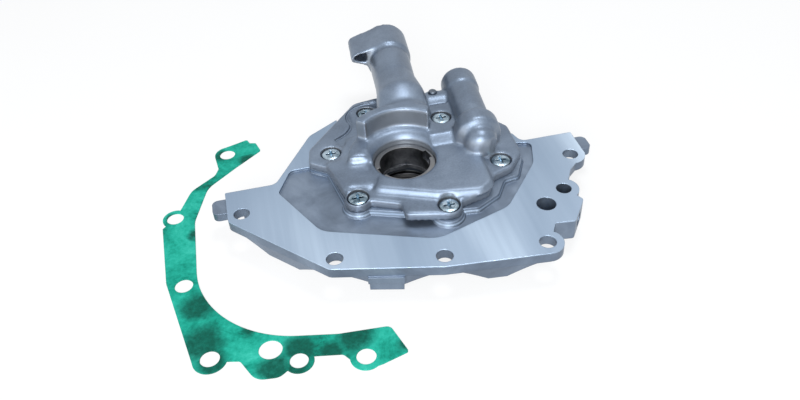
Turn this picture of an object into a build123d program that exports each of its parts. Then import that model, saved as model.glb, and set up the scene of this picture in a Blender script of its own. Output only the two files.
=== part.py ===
import os
from math import cos, hypot, pi, radians, sin

from build123d import *

# Engine oil pump: a crank-driven rotor pump built into a cast front housing.
# The origin is the crank axis on the machined flange face. +Z points to the engine block,
# +X runs along the sump rail and +Y points down towards the sump. Lengths are millimetres.

# Levels along the crank axis
flange_thick = 6.0
recess_deep = 1.5
island_rise = 1.5
cover_plate = 5.0
nose_deep = 21.0
bell_deep = 16.0
hub_deep = 16.5

joint_z = island_rise
land_z = joint_z + cover_plate
plateau_z = land_z + 3.5
low_plateau_z = land_z + 1.7
bulge_z = land_z + 7.4
screw_land_z = bulge_z
crown_z = bulge_z
wall_top_z = land_z + 20.0

# Flange, its holes and its corners as x, y and corner radius
rail_y = 9.4
flange_left = -103.0
flange_right = 105.0
bolt_hole_r = 4.5
bolt_boss_r = 8.5
bolt_seat_r = 9.5
bolt_holes = [(-94.9, -11.0), (-51.0, -58.9), (3.6, -71.8), (57.2, -76.2), (96.6, -10.8)]
gallery_at = (67.2, -48.3)
gallery_r = 5.4
gallery_deep = 11.0
blind_hole_at = (81.1, -38.8)
blind_hole_r = 4.3
blind_hole_deep = 10.0
blind_boss_deep = 13.5
blind_boss_r = 7.8

flange_corners = [
    (flange_left, rail_y, 0.8),
    (flange_left + 0.4, -15.6, 5.0),
    (-54.9, -65.7, 5.0),
    (1.8, -79.3, 12.0),
    (56.4, -84.7, 0),
    (62.8, -69.8, 0),
    (66.2, -64.0, 1.5),
    (77.2, -65.4, 2.0),
    (87.9, -50.2, 2.0),
    (85.5, -45.6, 0),
    (86.3, -32.6, 0),
    (91.4, -23.9, 3.0),
    (96.6, -19.3, 0),
    (flange_right, -10.8, 0),
    (flange_right, rail_y, 0.8),
    (73.5, rail_y, 5.0),
    (70.5, 19.5, 6.0),
    (49.0, 52.0, 10.0),
    (28.0, 67.0, 10.0),
    (-1.0, 73.0, 10.0),
    (-19.0, 70.0, 8.0),
    (-49.0, 50.5, 10.0),
    (-74.2, rail_y, 6.0),
]

# Bell behind the flange: it narrows towards the front by the draft of the casting
bell_draft = 14.0
scallop_r = 22.5
bell_corners = [
    (-102.4, rail_y, 0),
    (-102.0, -15.2, 5.0),
    (-54.6, -65.1, 5.0),
    (1.8, -78.7, 12.0),
    (56.0, -84.1, 0),
    (62.2, -69.4, 0),
    (66.4, -62.6, 4.0),
    (84.6, -50.0, 4.0),
    (85.6, -32.8, 4.0),
    (90.9, -23.4, 0),
    (104.4, -10.4, 0),
    (104.4, rail_y, 0),
    (72.0, rail_y, 4.0),
    (68.5, 19.0, 6.0),
    (47.0, 50.0, 10.0),
    (27.0, 64.5, 10.0),
    (-1.0, 70.5, 10.0),
    (-18.0, 67.5, 8.0),
    (-47.0, 48.5, 10.0),
    (-71.0, rail_y, 6.0),
]

# Hollows in the front of the bell that leave its rim, its hub and the webs between them
hollow_roof_z = -5.5
left_hollow = [
    (-68.5, 1.0, 4.0),
    (-69.0, -24.0, 5.0),
    (-60.0, -33.5, 5.0),
    (-44.0, -33.5, 4.0),
    (-44.5, 1.0, 4.0),
]
near_hollow = [
    (-29.0, -46.0, 3.0),
    (-25.5, -59.0, 3.0),
    (-20.0, -60.0, 3.0),
    (-11.0, -46.0, 3.0),
]
near_right_hollow = [
    (19.0, -47.0, 4.0),
    (28.5, -65.0, 3.0),
    (34.0, -65.5, 3.0),
    (43.5, -54.0, 4.0),
    (34.0, -44.5, 4.0),
]
right_hollow = [
    (51.0, -27.0, 4.0),
    (70.0, -33.0, 4.0),
    (71.0, 1.0, 4.0),
    (47.0, 1.0, 4.0),
]

# Shallow cast recess around the pump cover
recess_corners = [
    (-44.0, 20.0, 0),
    (-64.6, 19.4, 4.0),
    (-73.4, 1.2, 4.0),
    (-54.6, -36.6, 12.0),
    (4.0, -58.8, 16.0),
    (47.0, -44.6, 14.0),
    (73.2, -12.6, 16.0),
    (79.0, 6.6, 4.0),
    (60.0, 10.6, 0),
]

# Far rim of the flange, under the neck and the barrel: cast, so as low as the recess
far_rim_corners = [
    (-30.0, 80.0, 0),
    (-30.0, 50.0, 0),
    (0.0, 40.0, 0),
    (50.0, 18.0, 0),
    (80.0, 18.0, 0),
    (80.0, 80.0, 0),
]

# Pump cover
cover_corners = [
    (-51.6, 28.2, 4.0),
    (-53.4, 16.4, 2.5),
    (-43.6, 8.6, 3.0),
    (-37.4, -19.0, 0),
    (-25.6, -26.4, 0),
    (-10.0, -33.6, 1.2),
    (-9.4, -42.8, 1.5),
    (13.0, -48.4, 0),
    (21.0, -41.0, 0),
    (38.6, -36.2, 6.0),
    (45.8, -24.2, 2.5),
    (57.4, -19.8, 5.0),
    (67.2, -7.4, 4.0),
    (68.0, 18.5, 6.0),
    (47.0, 50.0, 10.0),
    (27.0, 64.5, 10.0),
    (-2.0, 71.4, 6.0),
    (-17.6, 69.0, 8.0),
]
cover_edge_r = 0.8
# Island under the cover: set back under the screw tab, with drafted sides and two round bosses
island_corners = cover_corners[:6] + [(2.0, -38.0, 0), (21.0, -41.0, 0)] + cover_corners[9:]
island_draft = 22.0
skirt_corners = [
    (-53.0, 15.9, 0),
    (-48.3, 11.7, 0),
    (-44.5, 9.6, 0),
    (-39.2, -21.0, 0),
    (-26.9, -29.9, 0),
    (-9.5, -36.5, 4.0),
    (5.0, -41.0, 0),
    (22.0, -43.0, 0),
    (31.0, -44.0, 4.0),
    (45.2, -36.0, 4.0),
    (52.2, -24.8, 4.0),
    (61.0, -23.6, 4.0),
    (68.8, -8.6, 4.0),
    (69.2, 8.0, 0),
    (60.0, 14.0, 0),
    (-40.0, 20.0, 0),
]
island_boss_places = [(-31.5, -22.2), (13.8, -42.3)]
island_boss_foot_r = 9.4
island_boss_top_r = 8.0

edge_slope = 35.0
plateau_corners = [
    (-23.6, -21.6, 4.0),
    (10.0, -36.2, 4.0),
    (34.6, -39.9, 6.0),
    (43.2, -33.4, 6.0),
    (44.8, -8.0, 4.0),
    (42.4, 9.0, 0),
    (-10.4, 9.0, 0),
]
low_plateau_corners = [
    (-44.2, 11.2, 2.0),
    (-37.2, -14.4, 2.5),
    (-24.0, -17.2, 2.5),
    (-10.0, -8.0, 0),
    (-10.0, 9.0, 0),
    (-34.0, 12.0, 0),
]
left_bulge_corners = [
    (-17.0, 0.8, 0),
    (-38.6, 1.6, 8.0),
    (-28.6, 32.0, 8.0),
    (-10.0, 34.0, 0),
    (-10.0, 16.0, 0),
]
right_bulge = ((14.0, 37.6), (6.0, 12.4), 42.0)
low_area_corners = [
    (0.0, 67.8, 0),
    (-13.0, 66.4, 6.0),
    (-22.6, 60.0, 6.0),
    (-23.4, 44.0, 6.0),
    (-36.8, 30.4, 4.0),
    (-28.0, 20.0, 0),
    (0.0, 30.0, 0),
]
crown_from = 36.0
crown_span = 136.0
crown_inner_r = 18.4
wall_inner_r = 25.3
crown_middle = (wall_inner_r - 0.707 * (wall_inner_r - crown_inner_r), plateau_z + 0.707 * (crown_z - plateau_z))
wall_outer_r = 32.0
wall_inside_from = 43.0
wall_outside_from = 49.0
wall_to = 137.0
plateau_ring_r = 20.2

# Screws that hold the cover: place, and the level of the cast land around each one
rotor_r = 33.0
right_screw_r = rotor_r + 7.45
screw_places = [
    (-39.5, 21.1, land_z),
    (-31.5, -22.2, land_z),
    (14.6, -41.2, land_z),
    (53.4, -12.0, land_z),
    (right_screw_r * cos(radians(44)), right_screw_r * sin(radians(44)), screw_land_z),
    (-11.6, 56.4, land_z),
]
screw_r = 3.0
screw_head_r = 5.3
screw_head_sunk = 1.0
screw_crown_r = 3.9
screw_crown_sunk = 0.55
screw_hole_r = screw_r + 0.25
screw_sink_r = screw_head_r + screw_head_sunk
screw_boss_r = 7.2
screw_tip_z = -10.5
screw_gap = 0.06
screw_foot_at = screw_places[3][:2]
screw_foot_r = 5.6
screw_foot_deep = 13.5
cross_long = 6.2
cross_wide = 1.4
cross_deep = 1.9

low_area_deep = 1.0
dowel_places = [(-33.0, 38.0), (57.5, 9.0)]
dowel_r = 2.5
dowel_z = (-6.0, 4.8)

# Rotors: a trochoid inner rotor with one lobe fewer than the outer ring
inner_lobes = 9
outer_lobes = inner_lobes + 1
offset_angle = 25.0
rotor_offset = rotor_r * 0.0788
lobe_centre_r = rotor_r * 0.918
lobe_r = rotor_r * 0.188
tooth_gap = 0.08
rotor_deep = 10.0
rotor_side_gap = 0.05
rotor_rim_gap = 0.08
outer_x = rotor_offset * cos(radians(offset_angle))
outer_y = rotor_offset * sin(radians(offset_angle))
outer_turn = offset_angle / outer_lobes
inner_tip_r = lobe_centre_r + rotor_offset - lobe_r
pocket_floor_z = joint_z - rotor_deep

crank_bore_r = 14.5
sleeve_r = 17.7
sleeve_gap = 0.2
sleeve_top_z = plateau_z - 3.4
drive_slot_wide = 7.0
drive_slot_deep = 1.5
drive_slot_angle = 17.0
drive_flat_from_axis = 13.0
drive_flat_angle = 95.0
drive_flat_top_z = -6.0
drive_foot_r = crank_bore_r - 0.3

# Crank seal in the nose
crank_clear_r = 17.9
nose_r = 30.0
seal_r = 22.0
seal_high = 7.0
seal_lip_r = 14.8
seal_wall = 1.2
seal_z = -nose_deep + 0.8
garter_r = 0.7

# Ports between the rotors and the passages
port_r = 24.7
port_wide = 7.4
suction_arc = CenterArc((0, 0), port_r, 61, 94)
suction_shadow_arc = CenterArc((0, 0), port_r, 61, 120)
discharge_arc = CenterArc((0, 0), port_r, -122, 122)
suction_rise_arc = CenterArc((0, 0), port_r + 5.0, 66, 22)
suction_rise_wide = 12.0
suction_port_z = 11.0
feed_x = 45.0
feed_y = -0.6
feed_slot_r = 4.4
shadow_port_deep = 2.0
discharge_port_deep = 3.4
gallery_port_deep = 5.0

# Drilling from the discharge port out to the plug in the near right block
drill_from = Vector(20.0, -20.0, -12.8)
drill_to = Vector(82.3, -58.1, -6.5)
drill_r = 3.2
drill_wall = 3.2
plug_r = 4.2
plug_long = 4.0
plug_seat = drill_to - (drill_to - drill_from).normalized() * (plug_long + 0.8)
block_deep = 12.6
block_corners = [
    (66.2, -60.0, 0),
    (66.2, -64.0, 1.5),
    (77.2, -65.4, 2.0),
    (87.9, -50.2, 2.0),
    (82.0, -42.0, 0),
]
end_lug_z = (-8.0, -3.0)
end_lug_out = 8.0
end_lug_wide = 12.2
end_lug_round = 3.5
near_lug_at = (-26.4, -69.2)
near_lug_wide = 17.6
near_lug_thick = 7.0
near_lug_turn = -14.5
near_lug_step = 10.5
near_lug_deep = 15.5

# Suction neck and relief valve barrel lean a little from the sump direction
lean = 4.5
along = Vector(sin(radians(lean)), cos(radians(lean)), 0)
neck_foot = Vector(4.8, 0, 17.0)
barrel_foot = Vector(44.8, 0, 13.0)
neck_side = Plane(origin=neck_foot, x_dir=along, z_dir=along.cross(Vector(0, 0, 1)))
barrel_side = Plane(origin=barrel_foot, x_dir=along, z_dir=along.cross(Vector(0, 0, 1)))
neck_axis = Axis(neck_foot, along)
barrel_axis = Axis(barrel_foot, along)

neck_start = (58.0, 11.0)
neck_waist = (68.0, 12.9)
neck_end = (95.0, 13.3)
neck_flare = [(68.0, 12.6, 12.6, 0), (56.0, 14.1, 12.8, -0.8), (47.0, 15.3, 12.5, -0.8), (30.0, 15.4, 9.5, -0.4)]
neck_block_corners = [
    (-7.6, 29.0, 0),
    (22.4, 29.0, 0),
    (23.9, 44.0, 0),
    (24.0, 56.0, 3.0),
    (20.0, 62.0, 3.0),
    (-1.0, 62.0, 3.0),
    (-4.4, 55.0, 3.0),
    (-6.6, 44.0, 0),
]
neck_flange_end = 120.0
neck_collar_r = 14.5
suction_r = 10.0
suction_neck_r = 6.6
socket_r = 11.0
socket_deep = 12.0
neck_bore_from = 30.0
neck_bore_full = 51.0
ear_corners = [
    (0.0, 0.0, 0),
    (4.6, 13.4, 0),
    (23.4, 7.0, 2.4),
    (25.7, 2.4, 2.0),
    (12.6, -2.6, 0),
]
ear_pocket_corners = [
    (14.8, 1.2, 0.8),
    (14.2, 8.4, 0.8),
    (22.2, 5.8, 0.8),
    (23.2, 3.6, 0.8),
]
ear_pocket_deep = 8.0
ear_hole_at = (18.8, 4.4)
ear_hole_r = 2.5

barrel_r = 10.2
barrel_nose_r = 9.4
barrel_nose = -9.0
barrel_collar = (0.5, 15.0)
barrel_collar_slope = 3.5
barrel_collar_r = 13.4
barrel_end = (50.0, 64.0)
barrel_end_r = 11.2
bridge_y = 50.5
bridge_r = 9.2
bridge_x = (12.0, 48.0)
spill_y = 45.8
spill_z = 8.4
spill_r = 2.4
passage_plug_at = (30.5, 53.0)
passage_plug_r = 2.5
passage_plug_top_z = 16.6
passage_plug_long = 4.0

# Relief valve pieces, as distances along the barrel
feed_r = 5.0
feed_from = -2.0
valve_r = 6.5
valve_gap = 0.05
valve_from = 38.0
piston_long = 14.0
piston_crown = 3.0
piston_wall = 1.4
piston_stroke = 8.0
seat_from = 60.6
seat_thick = 2.0
seat_hole_r = 2.0
circlip_from = seat_from + seat_thick + 0.1
circlip_thick = 1.0
circlip_gap = 0.1
circlip_groove_r = 7.4
circlip_inner_r = 5.2
spring_wire_r = 0.6
spring_coil_r = 4.1
spring_turns = 6.0
spring_wire_sides = 8

# Gasket lying on the floor beside the pump, as an open half ring with lobes round its holes
gasket_thick = 0.8
gasket_corners = [
    (-95.7, 84.0, 0),
    (-88.3, 86.6, 1.5),
    (-86.8, 82.3, 0),
    (-83.0, 81.2, 1.0),
    (-80.6, 72.6, 1.5),
    (-97.3, 59.1, 0),
    (-115.5, 43.2, 16.0),
    (-124.2, 14.0, 20.0),
    (-124.2, -76.8, 60.0),
    (-56.4, -90.7, 0),
    (-30.4, -92.4, 3.5),
    (-25.0, -110.0, 1.2),
    (-38.6, -113.9, 0),
    (-47.6, -115.3, 0),
    (-53.0, -107.8, 0),
    (-56.0, -103.4, 3.0),
    (-69.8, -100.8, 0),
    (-77.3, -101.7, 0),
    (-82.9, -105.6, 0),
    (-87.6, -108.8, 6.0),
    (-98.8, -107.6, 8.0),
    (-105.2, -94.6, 2.0),
    (-111.8, -93.0, 0),
    (-128.1, -90.1, 0),
    (-140.4, -33.0, 12.0),
    (-142.6, 12.0, 0),
    (-135.3, 19.3, 0),
    (-132.0, 26.6, 0),
    (-125.4, 42.4, 12.0),
    (-110.6, 54.0, 6.0),
    (-108.2, 60.0, 0),
    (-109.6, 71.4, 0),
    (-105.0, 81.0, 0),
]
gasket_lobes = [
    (-101.8, 73.8, 8.0, 4.9),
    (-135.3, 19.3, 7.3, 4.9),
    (-119.4, -89.6, 8.7, 4.9),
    (-77.3, -101.7, 7.4, 4.6),
    (-45.5, -107.6, 8.0, 4.9),
]
gasket_holes = [(-131.1, -37.0, 4.9), (-90.1, -91.6, 5.9)]


# Points and corner radii of an outline, in the two lists that FilletPolyline takes
def spots(corners):
    return [(x, y) for x, y, r in corners]


def rounds(corners):
    return [r for x, y, r in corners]


# Plane square to a leaning axis, with its own X towards -X and its own Y up
def across(foot, distance):
    return Plane(origin=foot + along * distance, x_dir=Vector(0, 0, 1).cross(along), z_dir=along)


# Edge of the inner rotor: a trochoid moved inwards by the outer ring's lobe radius
def rotor_points(steps):
    inset = lobe_r + tooth_gap
    found = []
    for step in range(steps):
        turn = 2 * pi * step / steps
        many = outer_lobes * turn
        x = lobe_centre_r * cos(turn) + rotor_offset * cos(many)
        y = lobe_centre_r * sin(turn) + rotor_offset * sin(many)
        run_x = -lobe_centre_r * sin(turn) - outer_lobes * rotor_offset * sin(many)
        run_y = lobe_centre_r * cos(turn) + outer_lobes * rotor_offset * cos(many)
        size = hypot(run_x, run_y)
        found.append((x - inset * run_y / size, y + inset * run_x / size))
    return found


# Front housing: flange, bell, seal nose and rotor pocket in one casting
with BuildPart() as front_housing:
    with BuildSketch():
        with BuildLine():
            FilletPolyline(*spots(flange_corners), radius=rounds(flange_corners), close=True)
        make_face()
        with Locations(bolt_holes[3], blind_hole_at, bolt_holes[4]):
            Circle(bolt_boss_r)
    extrude(amount=-flange_thick)
    with BuildSketch(Plane.XY.offset(-flange_thick)):
        with BuildLine():
            FilletPolyline(*spots(bell_corners), radius=rounds(bell_corners), close=True)
        make_face()
    extrude(amount=flange_thick - bell_deep, taper=bell_draft)
    # Cones cut into the bell round the bolts, for the socket
    with Locations(*[(x, y, -bell_deep) for x, y in bolt_holes]):
        Cone(scallop_r, bolt_seat_r, bell_deep - flange_thick, align=(Align.CENTER, Align.CENTER, Align.MIN),
             mode=Mode.SUBTRACT)
    # Rail walls under the flange, flush with the machined sump face
    with BuildSketch(Plane.XY.offset(-bell_deep)):
        with Locations((-84.0, rail_y - 3.5), (86.0, rail_y - 3.5)):
            Rectangle(22, 7)
    extrude(amount=bell_deep - flange_thick)
    # Hollows that leave the rim, the hub and the webs
    with BuildSketch(Plane.XY.offset(hollow_roof_z)):
        for hollow in (left_hollow, near_hollow, near_right_hollow, right_hollow):
            with BuildLine():
                FilletPolyline(*spots(hollow), radius=rounds(hollow), close=True)
            make_face()
    extrude(amount=-bell_deep, mode=Mode.SUBTRACT)
    # Hub, seal nose, and the bosses of the blind hole, one cover screw and the oil drilling
    with BuildSketch(Plane.XY.offset(-hub_deep)):
        Circle(wall_outer_r + 9.0)
    extrude(amount=hub_deep - flange_thick)
    with BuildSketch(Plane.XY.offset(-nose_deep)):
        Circle(nose_r)
    extrude(amount=nose_deep - flange_thick)
    with BuildSketch(Plane.XY.offset(-blind_boss_deep)):
        with Locations(blind_hole_at):
            Circle(blind_boss_r)
    extrude(amount=blind_boss_deep - 1)
    with BuildSketch(Plane.XY.offset(-screw_foot_deep)):
        with Locations(screw_foot_at):
            Circle(screw_foot_r)
    extrude(amount=screw_foot_deep - 1)
    with BuildSketch(Plane(origin=drill_from, z_dir=drill_to - drill_from)):
        Circle(drill_r + drill_wall)
    extrude(amount=(drill_to - drill_from).length - 4.0)
    # Block at the plugged end of the drilling
    with BuildSketch():
        with BuildLine():
            FilletPolyline(*spots(block_corners), radius=rounds(block_corners), close=True)
        make_face()
    extrude(amount=-block_deep)
    # Lugs at the ends of the rail and on the near wall
    with BuildSketch(Plane.XY.offset(end_lug_z[0])):
        with Locations((flange_left, 1.5), (flange_right, 1.2)):
            RectangleRounded(2 * end_lug_out, end_lug_wide, end_lug_round)
    extrude(amount=end_lug_z[1] - end_lug_z[0])
    with BuildSketch(Plane.XY.offset(-near_lug_deep)):
        with Locations(near_lug_at):
            Rectangle(near_lug_wide, near_lug_thick, rotation=near_lug_turn)
    extrude(amount=near_lug_deep - flange_thick)
    with BuildSketch(Plane.XY.offset(-near_lug_step)):
        with Locations(near_lug_at):
            Rectangle(near_lug_wide + 1.2, near_lug_thick + 1.6, rotation=near_lug_turn)
    extrude(amount=near_lug_step - flange_thick)
    # Machined seats for the bolt heads
    with BuildSketch(Plane.XY.offset(-flange_thick)):
        with Locations(bolt_holes):
            Circle(bolt_seat_r)
    extrude(amount=-nose_deep, mode=Mode.SUBTRACT)
    # Shallow cast recess, and the island that carries the cover
    with BuildSketch():
        with BuildLine():
            FilletPolyline(*spots(recess_corners), radius=rounds(recess_corners), close=True)
        make_face()
        with BuildLine():
            Polyline(*spots(far_rim_corners), close=True)
        make_face()
    extrude(amount=-recess_deep, mode=Mode.SUBTRACT)
    with BuildSketch(Plane.XY.offset(-recess_deep)):
        with BuildLine():
            FilletPolyline(*spots(island_corners), radius=rounds(island_corners), close=True)
        make_face()
    extrude(amount=recess_deep + joint_z)
    with BuildSketch(Plane.XY.offset(-recess_deep)):
        with BuildLine():
            FilletPolyline(*spots(skirt_corners), radius=rounds(skirt_corners), close=True)
        make_face()
    extrude(amount=recess_deep + joint_z, taper=island_draft)
    with Locations(*[(x, y, -recess_deep) for x, y in island_boss_places]):
        Cone(island_boss_foot_r, island_boss_top_r, recess_deep + joint_z,
             align=(Align.CENTER, Align.CENTER, Align.MIN))
    # Rotor pocket, crank clearance and seal bore
    with Locations((outer_x, outer_y, pocket_floor_z)):
        Cylinder(rotor_r + rotor_rim_gap, rotor_deep + 1, align=(Align.CENTER, Align.CENTER, Align.MIN),
                 mode=Mode.SUBTRACT)
    with Locations((0, 0, -nose_deep - 1)):
        Cylinder(crank_clear_r, nose_deep, align=(Align.CENTER, Align.CENTER, Align.MIN),
                 mode=Mode.SUBTRACT)
        Cylinder(seal_r, seal_z + seal_high + nose_deep + 1,
                 align=(Align.CENTER, Align.CENTER, Align.MIN), mode=Mode.SUBTRACT)
    # Ports in the pocket floor
    with BuildSketch(Plane.XY.offset(pocket_floor_z)):
        SlotArc(discharge_arc, port_wide)
    extrude(amount=-gallery_port_deep, mode=Mode.SUBTRACT)
    with BuildSketch(Plane.XY.offset(pocket_floor_z)):
        SlotArc(suction_shadow_arc, port_wide)
    extrude(amount=-shadow_port_deep, mode=Mode.SUBTRACT)
    # Oil drilling, its plug seat and the gallery mouth in the flange face
    with BuildSketch(Plane(origin=drill_from, z_dir=drill_to - drill_from)):
        Circle(drill_r)
    extrude(amount=(drill_to - drill_from).length + 4, mode=Mode.SUBTRACT)
    with BuildSketch(Plane(origin=plug_seat, z_dir=drill_to - drill_from)):
        Circle(plug_r)
    extrude(amount=plug_long + 8, mode=Mode.SUBTRACT)
    with Locations((*gallery_at, 0)):
        Cylinder(gallery_r, gallery_deep, align=(Align.CENTER, Align.CENTER, Align.MAX),
                 mode=Mode.SUBTRACT)
    # Bolt holes, blind hole, tapped screw holes and dowel holes
    with Locations(Plane.XY):
        with Locations(bolt_holes):
            Hole(bolt_hole_r, flange_thick)
    with Locations((*blind_hole_at, 0)):
        Cylinder(blind_hole_r, blind_hole_deep, align=(Align.CENTER, Align.CENTER, Align.MAX),
                 mode=Mode.SUBTRACT)
    with Locations(*[(x, y, joint_z) for x, y, land in screw_places]):
        Cylinder(screw_r + screw_gap, joint_z - screw_tip_z + 1.5,
                 align=(Align.CENTER, Align.CENTER, Align.MAX), mode=Mode.SUBTRACT)
    with Locations(*[(x, y, joint_z) for x, y in dowel_places]):
        Cylinder(dowel_r, joint_z - dowel_z[0] + 0.4,
                 align=(Align.CENTER, Align.CENTER, Align.MAX), mode=Mode.SUBTRACT)

# Pump cover: plate, raised lands, suction neck and valve barrel in one casting
with BuildPart() as pump_cover:
    with BuildSketch(Plane.XY.offset(joint_z)):
        with BuildLine():
            FilletPolyline(*spots(cover_corners), radius=rounds(cover_corners), close=True)
        make_face()
        with Locations(screw_places[1][:2], screw_places[2][:2]):
            Circle(screw_boss_r)
    extrude(amount=cover_plate)
    fillet(pump_cover.faces().sort_by(Axis.Z)[-1].edges(), cover_edge_r)
    # Lower area on the left, beside the neck
    with BuildSketch(Plane.XY.offset(land_z)):
        with BuildLine():
            FilletPolyline(*spots(low_area_corners), radius=rounds(low_area_corners), close=True)
        make_face()
        with Locations(screw_places[5][:2], screw_places[0][:2]):
            Circle(screw_boss_r, mode=Mode.SUBTRACT)
    extrude(amount=-low_area_deep, mode=Mode.SUBTRACT)
    # Plateaus round the crank bore, the higher one with a sloping edge
    with BuildSketch(Plane.XY.offset(land_z)):
        with BuildLine():
            FilletPolyline(*spots(plateau_corners), radius=rounds(plateau_corners), close=True)
        make_face()
    extrude(amount=plateau_z - land_z, taper=edge_slope)
    with BuildSketch(Plane.XY.offset(joint_z + 1)):
        Circle(plateau_ring_r)
    extrude(amount=plateau_z - joint_z - 1)
    with BuildSketch(Plane.XY.offset(joint_z + 1)):
        with BuildLine():
            FilletPolyline(*spots(low_plateau_corners), radius=rounds(low_plateau_corners), close=True)
        make_face()
    extrude(amount=low_plateau_z - joint_z - 1)
    # Bulge over the suction port, left and right of the bore
    with BuildSketch(Plane.XY.offset(low_plateau_z - 0.5)):
        with BuildLine():
            FilletPolyline(*spots(left_bulge_corners), radius=rounds(left_bulge_corners), close=True)
        make_face()
    extrude(amount=bulge_z - low_plateau_z + 0.5, taper=edge_slope)
    with BuildSketch(Plane.YZ.offset(right_bulge[0][0])):
        with BuildLine():
            Polyline((right_bulge[1][0], joint_z + 1), (right_bulge[1][0], plateau_z),
                     (right_bulge[1][1], screw_land_z), (right_bulge[2], screw_land_z),
                     (right_bulge[2], joint_z + 1), close=True)
        make_face()
    extrude(amount=right_bulge[0][1] - right_bulge[0][0])
    with BuildSketch(Plane.XY.offset(joint_z + 1)):
        with BuildLine():
            crown_edge = CenterArc((0, 0), wall_outer_r, crown_from, crown_span)
            Line(crown_edge @ 1, (0, 0))
            Line((0, 0), crown_edge @ 0)
        make_face()
    extrude(amount=crown_z - joint_z - 1)
    # Dish round the bore: a quarter round from the rim up to the foot of the curved wall
    with BuildSketch(Plane.XZ):
        with BuildLine():
            Polyline((0, plateau_z), (crown_inner_r, plateau_z))
            ThreePointArc((crown_inner_r, plateau_z), crown_middle, (wall_inner_r, crown_z))
            Polyline((wall_inner_r, crown_z), (wall_inner_r, wall_top_z), (0, wall_top_z), (0, plateau_z))
        make_face()
    revolve(axis=Axis.Z, mode=Mode.SUBTRACT)
    # Curved wall behind the bore
    with BuildSketch(Plane.XY.offset(joint_z + 1)):
        with BuildLine():
            wall_outside = CenterArc((0, 0), wall_outer_r, wall_outside_from, wall_to - wall_outside_from)
            wall_inside = CenterArc((0, 0), wall_inner_r, wall_inside_from, wall_to - wall_inside_from)
            Line(wall_outside @ 0, wall_inside @ 0)
            Line(wall_outside @ 1, wall_inside @ 1)
        make_face()
    extrude(amount=wall_top_z - joint_z - 1)
    fillet(pump_cover.faces().sort_by(Axis.Z)[-1].edges(), cover_edge_r)
    # Suction neck: a flared foot on a block, then the round neck and its flange
    with BuildSketch(Plane.XY.offset(joint_z + 1)):
        with BuildLine():
            FilletPolyline(*spots(neck_block_corners), radius=rounds(neck_block_corners), close=True)
        make_face()
    extrude(amount=neck_foot.Z - joint_z - 1)
    for distance, half_wide, half_high, shift in neck_flare:
        with BuildSketch(across(neck_foot, distance)):
            with Locations((shift, 0)):
                Ellipse(half_wide, half_high)
    loft(ruled=True)
    with BuildSketch(neck_side):
        with BuildLine():
            Polyline((neck_start[0], 0), neck_start, neck_waist, neck_end,
                     (neck_end[0], neck_collar_r), (neck_flange_end, neck_collar_r),
                     (neck_flange_end, 0), close=True)
        make_face()
    revolve(axis=neck_axis)
    with BuildSketch(across(neck_foot, neck_end[0])):
        with BuildLine():
            FilletPolyline(*spots(ear_corners), radius=rounds(ear_corners), close=True)
        make_face()
    extrude(amount=neck_flange_end - neck_end[0])
    with BuildSketch(across(neck_foot, neck_end[0])):
        with BuildLine():
            FilletPolyline(*spots(ear_pocket_corners), radius=rounds(ear_pocket_corners), close=True)
        make_face()
    extrude(amount=ear_pocket_deep, mode=Mode.SUBTRACT)
    # Valve barrel, and the passage that joins it to the neck
    with BuildSketch(barrel_side):
        with BuildLine():
            FilletPolyline((barrel_nose, 0), (barrel_nose, barrel_nose_r), (barrel_collar[0], barrel_nose_r),
                           (barrel_collar[0] + barrel_collar_slope, barrel_collar_r),
                           (barrel_collar[1], barrel_collar_r),
                           (barrel_collar[1], barrel_r), (barrel_end[0], barrel_r),
                           (barrel_end[0], barrel_end_r), (barrel_end[1], barrel_end_r),
                           (barrel_end[1], 0), radius=[0, 7.5, 1.5, 2, 1.5, 0, 0, 0.5, 1.2, 0], close=True)
        make_face()
    revolve(axis=barrel_axis)
    with BuildSketch(Plane.YZ.offset(bridge_x[0])):
        with Locations((bridge_y, land_z)):
            Circle(bridge_r)
    extrude(amount=bridge_x[1] - bridge_x[0])
    with Locations((*passage_plug_at, land_z)):
        Cylinder(passage_plug_r + 0.8, passage_plug_top_z - 0.8 - land_z,
                 align=(Align.CENTER, Align.CENTER, Align.MIN))
    split(bisect_by=Plane.XY.offset(joint_z), keep=Keep.TOP)
    # Lands, countersinks and holes of the screws
    for x, y, land in screw_places:
        with Locations((x, y, land)):
            Cylinder(screw_sink_r, wall_top_z, align=(Align.CENTER, Align.CENTER, Align.MIN),
                     mode=Mode.SUBTRACT)
            Cone(screw_hole_r, screw_sink_r, screw_sink_r - screw_hole_r,
                 align=(Align.CENTER, Align.CENTER, Align.MAX), mode=Mode.SUBTRACT)
    with Locations(*[(x, y, joint_z) for x, y, land in screw_places]):
        Cylinder(screw_hole_r, wall_top_z, align=(Align.CENTER, Align.CENTER, Align.MIN),
                 mode=Mode.SUBTRACT)
    with Locations(*[(x, y, joint_z) for x, y in dowel_places]):
        Cylinder(dowel_r, dowel_z[1] - joint_z + 0.2, align=(Align.CENTER, Align.CENTER, Align.MIN),
                 mode=Mode.SUBTRACT)
    # Crank bore
    with Locations((0, 0, joint_z)):
        Cylinder(sleeve_r + sleeve_gap, wall_top_z, align=(Align.CENTER, Align.CENTER, Align.MIN),
                 mode=Mode.SUBTRACT)
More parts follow.
